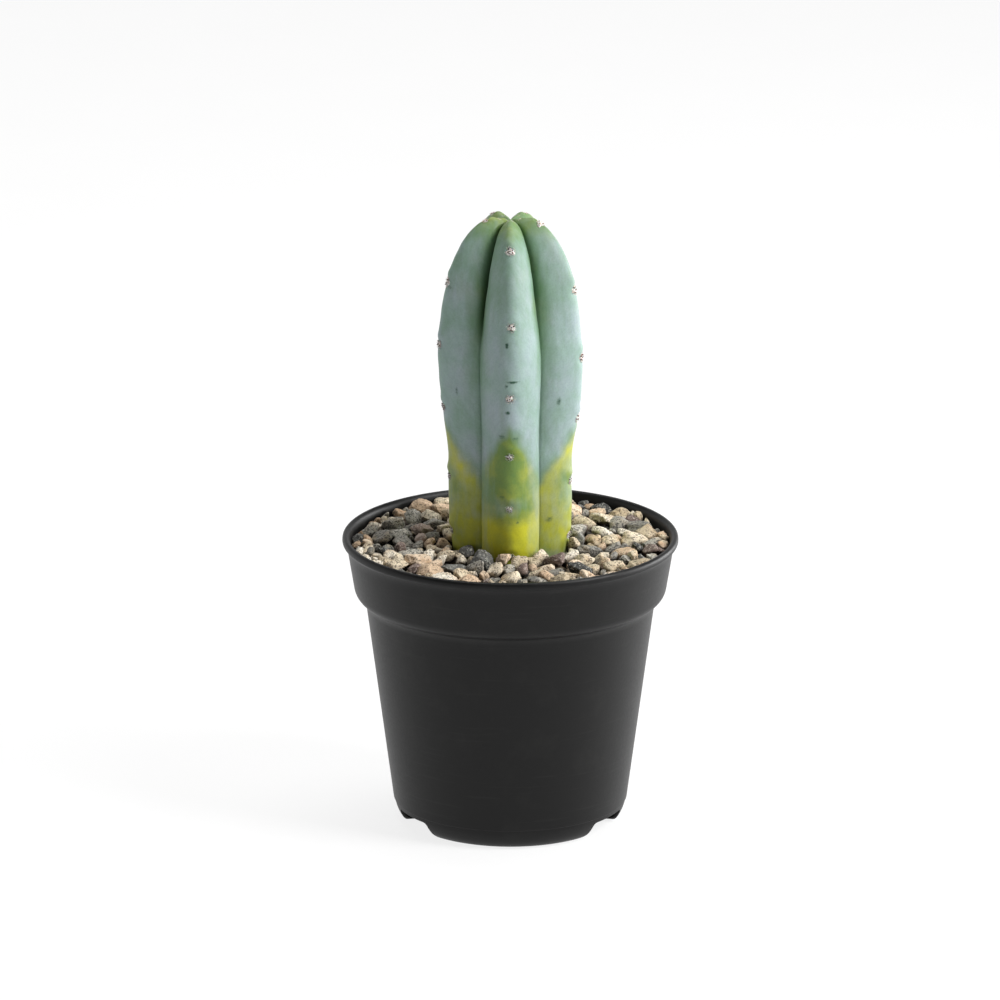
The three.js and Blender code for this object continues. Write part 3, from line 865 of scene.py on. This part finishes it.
def sphere_mesh(subdivisions):
    """A ball of radius 1, as points and triangles."""
    ball = bmesh.new()
    bmesh.ops.create_icosphere(ball, subdivisions=subdivisions, radius=1)
    points = np.array([vertex.co for vertex in ball.verts])
    faces = [[vertex.index for vertex in face.verts] for face in ball.faces]
    ball.free()
    return points, faces


SMALL_BALL, LARGE_BALL, SINGLE_BALL = 3, 4, 5
BALLS = {level: sphere_mesh(level) for level in (SMALL_BALL, LARGE_BALL, SINGLE_BALL)}


def pebble(rng, half, ball):
    """A broken stone: a ball cut back by a few wide breaks and many small chips, its edges little worn."""
    directions, faces = BALLS[ball]
    count, chips = int(rng.integers(6, 10)), 16
    normals = rng.normal(size=(count + chips, 3))
    normals /= np.linalg.norm(normals, axis=1, keepdims=True)
    distances = np.concatenate([rng.uniform(0.45, 0.8, count), rng.uniform(0.72, 0.98, chips)])
    cosines = directions @ normals.T
    reach = np.where(cosines > 0.08, distances / np.maximum(cosines, 0.08), 9.0)
    reach = np.concatenate([reach, np.full((len(directions), 1), 1.05)], axis=1)
    sharpness = rng.uniform(55, 110)
    radius = -np.log(np.exp(-sharpness * reach).sum(1)) / sharpness
    for frequency, depth in ((2.6, 0.06), (5.5, 0.04), (11.0, 0.03), (22.0, 0.022)):
        wave = rng.normal(size=(3, 3)) * frequency
        phase = rng.uniform(0, 6.28, 3)
        radius += depth * np.sin(directions @ wave + phase).prod(1)
    points = directions * radius[:, None]
    low, high = points.min(0), points.max(0)
    return (points - (low + high) / 2) / ((high - low) / 2) * half, faces


def turn_matrix(yaw, pitch, roll):
    """A turn about x by roll, then about y by pitch, then about z by yaw."""
    cy, sy, cp, sp, cr, sr = (f(a) for a in (yaw, pitch, roll) for f in (math.cos, math.sin))
    about_z = np.array([[cy, -sy, 0], [sy, cy, 0], [0, 0, 1]])
    about_y = np.array([[cp, 0, sp], [0, 1, 0], [-sp, 0, cp]])
    about_x = np.array([[1, 0, 0], [0, cr, -sr], [0, sr, cr]])
    return about_z @ about_y @ about_x


class GravelHeap:
    """The gravel's surface as a height field, on which stones come to rest one at a time."""

    cell = 0.3
    reach = 63
    walled_off = 1e4
    # Broken stones nest a little closer than the ellipsoids round them.
    nesting = 0.93

    def __init__(self):
        self.half = int(self.reach / self.cell)
        axis = (np.arange(2 * self.half + 1) - self.half) * self.cell
        self.x, self.y = np.meshgrid(axis, axis, indexing="ij")
        distance = np.hypot(self.x, self.y)
        self.height = gravel_level(distance) - 6.5
        bearing = np.arctan2(self.x, -self.y)
        position = bearing / (math.tau / RIBS)
        across = off_ridge(position)
        ridge, furrow = 23.4, 19.0
        stem = furrow + (ridge - furrow) * rib_share(across)
        self.height[(distance > GRAVEL_RADIUS) | (distance < stem)] = self.walled_off

    def footprint(self, turn, half):
        """The lower and upper surface of a turned ellipsoid over the cells that it covers."""
        shape = turn @ np.diag(1 / np.square(half * self.nesting)) @ turn.T
        extent = math.ceil(half.max() / self.cell) + 1
        axis = np.arange(-extent, extent + 1) * self.cell
        x, y = np.meshgrid(axis, axis, indexing="ij")
        linear_part = shape[0, 2] * x + shape[1, 2] * y
        rest = shape[0, 0] * x * x + 2 * shape[0, 1] * x * y + shape[1, 1] * y * y - 1
        inside = linear_part ** 2 - shape[2, 2] * rest
        covered = inside > 0
        root = np.sqrt(np.where(covered, inside, 0))
        low = np.where(covered, (-linear_part - root) / shape[2, 2], np.inf)
        high = np.where(covered, (-linear_part + root) / shape[2, 2], -np.inf)
        return extent, low, high

    def window(self, x, y, extent):
        """The cells round (x, y), or None where they would leave the field."""
        i, j = round(x / self.cell) + self.half, round(y / self.cell) + self.half
        if min(i, j) < extent or max(i, j) >= 2 * self.half + 1 - extent:
            return None
        return slice(i - extent, i + extent + 1), slice(j - extent, j + extent + 1)

    def landing(self, x, y, extent, low):
        """The height at which a stone let down at (x, y) comes to rest."""
        window = self.window(x, y, extent)
        return self.walled_off if window is None else float((self.height[window] - low).max())

    def settle(self, x, y, z, extent, high):
        """Leave a stone lying at (x, y, z)."""
        window = self.window(x, y, extent)
        self.height[window] = np.maximum(self.height[window], z + high)


def gravel_level(distance):
    """The height that the gravel's surface is wanted at, by distance from the axis."""
    return GRAVEL_MIDDLE + (GRAVEL_EDGE - GRAVEL_MIDDLE) * smooth_step(24, 60, distance)


def soil_and_shade_share(points):
    """How much soil and painted shade darken a point: 0 just over the gravel's surface, 0.93 some 3 mm under.
    """
    under = gravel_level(np.hypot(points[:, 0], points[:, 1])) - points[:, 2]
    return 0.93 * smooth_step(-0.6, 3.2, under)


def place_stone(heap, half, spots, turns):
    """Try a stone at several spots and turns, and choose where it lies lowest against the wanted surface."""
    best = None
    for turn in turns:
        extent, low, high = heap.footprint(turn, half)
        for x, y in spots:
            z = heap.landing(x, y, extent, low)
            above = z - gravel_level(math.hypot(x, y))
            if best is None or above < best[0]:
                best = (above, x, y, z, turn, extent, high)
    above, x, y, z, turn, extent, high = best
    return above, np.array([x, y, z]), turn, extent, high


def random_spots(rng, count, nearest=21, farthest=59.5):
    """Points spread evenly over a ring."""
    distance = np.sqrt(rng.uniform(nearest ** 2, farthest ** 2, count))
    bearing = rng.uniform(0, math.tau, count)
    return np.stack([distance * np.cos(bearing), distance * np.sin(bearing)], 1)


def random_turns(rng, count, tilt):
    """Turns with any yaw and a little tilt."""
    return [
        turn_matrix(rng.uniform(0, math.tau), rng.normal(0, tilt), rng.normal(0, tilt))
        for _ in range(count)]


def stone_in_frame(name):
    """A CAD stone's middle, turn and half sizes, from the spread of its corners."""
    points = to_mm(np.array([vertex.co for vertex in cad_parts[name].data.vertices]))
    centre = (points.min(0) + points.max(0)) / 2
    _, _, axes = np.linalg.svd(points - points.mean(0), full_matrices=False)
    turn = axes.T
    turn[:, 2] *= np.sign(np.linalg.det(turn))
    along = (points - centre) @ turn
    return centre, turn, (along.max(0) - along.min(0)) / 2


# How many of the strewn stones are of each kind, in the order of STONE_KINDS.
KIND_SHARES = (0.08, 0.29, 0.38, 0.18, 0.07)
LOWEST_STONES = 150
WALL_STONES = 140
MOST_MISSES = 14
SHARE_OF_LARGE = 0.75


def make_gravel(materials):
    """The single stones and those strewn between them, as (piece, the CAD node it replaces, kind)."""
    rng = np.random.default_rng(SEED + 1)
    heap = GravelHeap()
    fill = {kind: ([], []) for kind in STONE_KINDS}
    kinds = list(STONE_KINDS)

    def add_fill(half, ball, spots, turns, limit):
        """Strew one stone, unless its middle would come to lie above the wanted surface by over the limit."""
        above, centre, turn, extent, high = place_stone(heap, half, spots, turns)
        if above > limit:
            return False
        points, faces = pebble(rng, half, ball)
        kind = kinds[rng.choice(len(kinds), p=KIND_SHARES)]
        heap.settle(centre[0], centre[1], centre[2], extent, high)
        fill[kind][0].append((points @ turn.T + centre, faces))
        fill[kind][1].append(np.full(len(points), rng.uniform(0, 1)))
        return True

    def random_half(low, high):
        """Half sizes of a stone whose length is between low and high."""
        length = rng.uniform(low, high)
        return np.array([length, length * rng.uniform(0.6, 0.88), length * rng.uniform(0.45, 0.7)]) / 2

    # A first layer, each stone's middle at least 2.2 mm under the wanted surface.
    for _ in range(LOWEST_STONES):
        half = random_half(5, 8.5)
        add_fill(half, SMALL_BALL, random_spots(rng, 24), random_turns(rng, 3, 0.5), limit=-2.2)

    pieces = []
    for name in sorted(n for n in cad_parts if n.startswith("stone_")):
        kind = name.split("_")[1]
        centre, turn, half = stone_in_frame(name)
        nudges = [(centre[0] + dx, centre[1] + dy) for dx in (-0.9, 0, 0.9) for dy in (-0.9, 0, 0.9)]
        turns = [turn] + [turn_matrix(0, *rng.normal(0, 0.22, 2)) @ turn for _ in range(8)]
        _, centre, turn, extent, high = place_stone(heap, half, nudges, turns)
        points, faces = pebble(rng, half, SINGLE_BALL)
        heap.settle(centre[0], centre[1], centre[2], extent, high)
        points = points @ turn.T + centre
        stone = add_mesh(name + "_pebble", points, faces, materials[kind])
        add_values(stone, "tone", np.full(len(points), rng.uniform(0.1, 0.9)))
        add_values(stone, "soil_and_painted_shade", soil_and_shade_share(points))
        pieces.append((stone, name, kind))

    misses = 0
    while misses < MOST_MISSES:
        large = rng.uniform() < SHARE_OF_LARGE
        half = random_half(7.0, 11.5) if large else random_half(4.0, 6.5)
        ball = LARGE_BALL if large else SMALL_BALL
        placed = add_fill(half, ball, random_spots(rng, 36), random_turns(rng, 4, 0.4), limit=0.4)
        misses = 0 if placed else misses + 1

    # Small stones close the gap along the wall.
    for _ in range(WALL_STONES):
        half = random_half(3.2, 5.6)
        spots = random_spots(rng, 20, nearest=54, farthest=60)
        add_fill(half, SMALL_BALL, spots, random_turns(rng, 3, 0.5), limit=0.9)

    for kind, (parts, tones) in fill.items():
        points, faces = join_parts(parts)
        stones = add_mesh("gravel_fill_" + kind, points, faces, materials[kind])
        add_values(stones, "tone", np.concatenate(tones))
        add_values(stones, "soil_and_painted_shade", soil_and_shade_share(points))
        pieces.append((stones, "gravel_bed", kind))
    return pieces


def make_under_layer(material):
    """The gravel below the stones that show, as one lumpy layer, darkened by soil and painted shade."""
    bottom = to_mm(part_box("gravel_bed")[0].z)
    surface = [(radius, gravel_level(radius) - 7.5) for radius in np.linspace(UNDER_LAYER_RADIUS, 0, 70)]
    profile = resample(np.array([(0, bottom), (UNDER_LAYER_RADIUS, bottom)] + surface), spacing=1.5)
    points, faces = turn_profile(profile, around=180)
    for point in points:
        if point[2] > bottom + 1 and 2 < math.hypot(point[0], point[1]) < 58.5:
            point[2] += 1.4 * noise.noise(Vector(point) * 0.28) + 0.6 * noise.noise(Vector(point) * 0.8)
    layer = add_mesh("gravel_under_layer", points, faces, material)
    add_values(layer, "tone", np.full(len(points), 0.2))
    # Soil and painted shade darken the whole layer.
    add_values(layer, "soil_and_painted_shade", np.full(len(points), 0.8))
    return layer


def make_potting_mix(material):
    """The plug of soil, crumbly all over."""
    low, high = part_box("potting_mix")
    bottom, top = to_mm(low.z), to_mm(high.z)
    profile = resample(outline((0, bottom), (41.6, bottom), (42.2, 8), (53.4, SHOULDER_HEIGHT + 1),
                               (54, 91.2, 56.4, 92.2), (57.8, 93, 58, COLLAR_HEIGHT + 1.6), (58.4, top - 0.6),
                               (58, top), (0, top)), spacing=2.0)
    points, faces = turn_profile(profile, around=150)
    for i, point in enumerate(points):
        crumb = abs(noise.noise(Vector(point) * 0.45)) + 0.5 * abs(noise.noise(Vector(point) * 1.1))
        inwards = Vector((point[0], point[1], 0)).normalized() if point[0] or point[1] else Vector()
        points[i] = np.array(point) - np.array(inwards) * crumb * 0.9
        if abs(point[2] - bottom) < 0.1:
            points[i][2] += crumb * 0.8
    return add_mesh("potting_mix_plug", points, faces, material)


# ---- camera, light and floor ----

def aim(thing, place, target):
    """Put a lamp or a camera at a place, facing the target."""
    thing.location = place
    thing.rotation_euler = (Vector(target) - Vector(place)).to_track_quat("-Z", "Y").to_euler()


def make_camera():
    """A long lens 3 m away, 18 degrees above the middle of the pot."""
    distance, elevation = 3.0, math.radians(18.0)
    looked_at = Vector((0, 0, 0.060))
    place = looked_at + distance * Vector((0, -math.cos(elevation), math.sin(elevation)))
    camera = bpy.data.objects.new("camera", bpy.data.cameras.new("camera"))
    bpy.context.collection.objects.link(camera)
    camera.data.sensor_width = 36
    camera.data.lens = 277.8
    camera.data.clip_end = 50
    aim(camera, place, (-mm(4), 0, mm(127.9)))
    bpy.context.scene.camera = camera


# The height that the lamps face, in metres.
LIT_HEIGHT = 0.13


def add_light(name, bearing, elevation, distance, size, power):
    """A white softbox that faces the middle of the plant. The bearing and elevation are in degrees."""
    light = bpy.data.lights.new(name, "AREA")
    light.shape = "RECTANGLE"
    light.size, light.size_y = size
    light.energy = power
    lamp = bpy.data.objects.new(name, light)
    bpy.context.collection.objects.link(lamp)
    b, e = math.radians(bearing), math.radians(elevation)
    place = distance * Vector((math.sin(b) * math.cos(e), -math.cos(b) * math.cos(e), math.sin(e)))
    aim(lamp, place + Vector((0, 0, LIT_HEIGHT)), (0, 0, LIT_HEIGHT))


# The studio's sizes, in mm.
FLOOR_HALF = 9000
BACKDROP_RADIUS, BACKDROP_HEIGHT = 8900, 1200
COVE_RADIUS, COVE_HEIGHT, COVE_FRONT = 8800, 4200, -2500


def make_studio():
    """A white table in a round white room, open at the front, with four softboxes."""
    world = bpy.data.worlds.new("studio")
    world.use_nodes = True
    world.node_tree.nodes["Background"].inputs["Color"].default_value = (1, 1, 1, 1)
    world.node_tree.nodes["Background"].inputs["Strength"].default_value = 0.08
    scene = bpy.context.scene
    scene.world = world
    scene.view_settings.view_transform = "Standard"
    scene.view_settings.look = "None"
    table_sheet = opal_acrylic("opal_acrylic_table", 0.82)
    wall_sheet = opal_acrylic("opal_acrylic_wall", 0.77)
    corners = [(FLOOR_HALF * x, FLOOR_HALF * y, 0) for x, y in ((-1, -1), (1, -1), (1, 1), (-1, 1))]
    floor = add_mesh("floor", corners, [[0, 1, 2, 3]], table_sheet, smooth=False)
    wall = turn_profile([(BACKDROP_RADIUS, -1), (BACKDROP_RADIUS, BACKDROP_HEIGHT)], around=96)
    backdrop = add_mesh("backdrop", *wall, wall_sheet)
    cove_points, cove_faces = turn_profile([(COVE_RADIUS, -1), (COVE_RADIUS, COVE_HEIGHT)], around=96)
    behind = [face for face in cove_faces if min(cove_points[corner][1] for corner in face) > COVE_FRONT]
    cove = add_mesh("back_cove", cove_points, behind, wall_sheet)
    add_light("key_softbox", 64, 38, 1.3, (0.45, 0.7), 18.5)
    add_light("side_panel", 112, 3, 1.0, (0.9, 0.4), 11)
    add_light("fill_softbox", -100, 20, 1.6, (0.5, 1.0), 0.7)
    add_light("top_softbox", 180, 74, 1.8, (1.4, 1.4), 22)


# ---- the whole plant ----

def settle(piece, slot, *nodes):
    """Ride on the plant's one body, in place of its CAD nodes."""
    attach(piece, "root")
    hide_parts(*nodes)


def main():
    make_camera()
    make_studio()
    stones = {kind: broken_stone(*look) for kind, look in STONE_KINDS.items()}

    settle(make_pot(black_polypropylene()), "pot_plastic", "pot")
    settle(make_stem(waxy_skin()), "cactus_skin", "cactus_stem")
    pads, spines = make_areoles(areole_felt(), spine_horn())
    for piece, slot in ((pads, "areole_felt"), (spines, "spine")):
        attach(piece, "root")
    settle(make_potting_mix(bark_and_peat()), "potting_mix", "potting_mix")
    settle(make_under_layer(stones["dark"]), "gravel_mixed", "gravel_bed")
    for piece, cad_node, kind in make_gravel(stones):
        settle(piece, kind + "_stone", cad_node)


main()
bpy.context.view_layer.update()
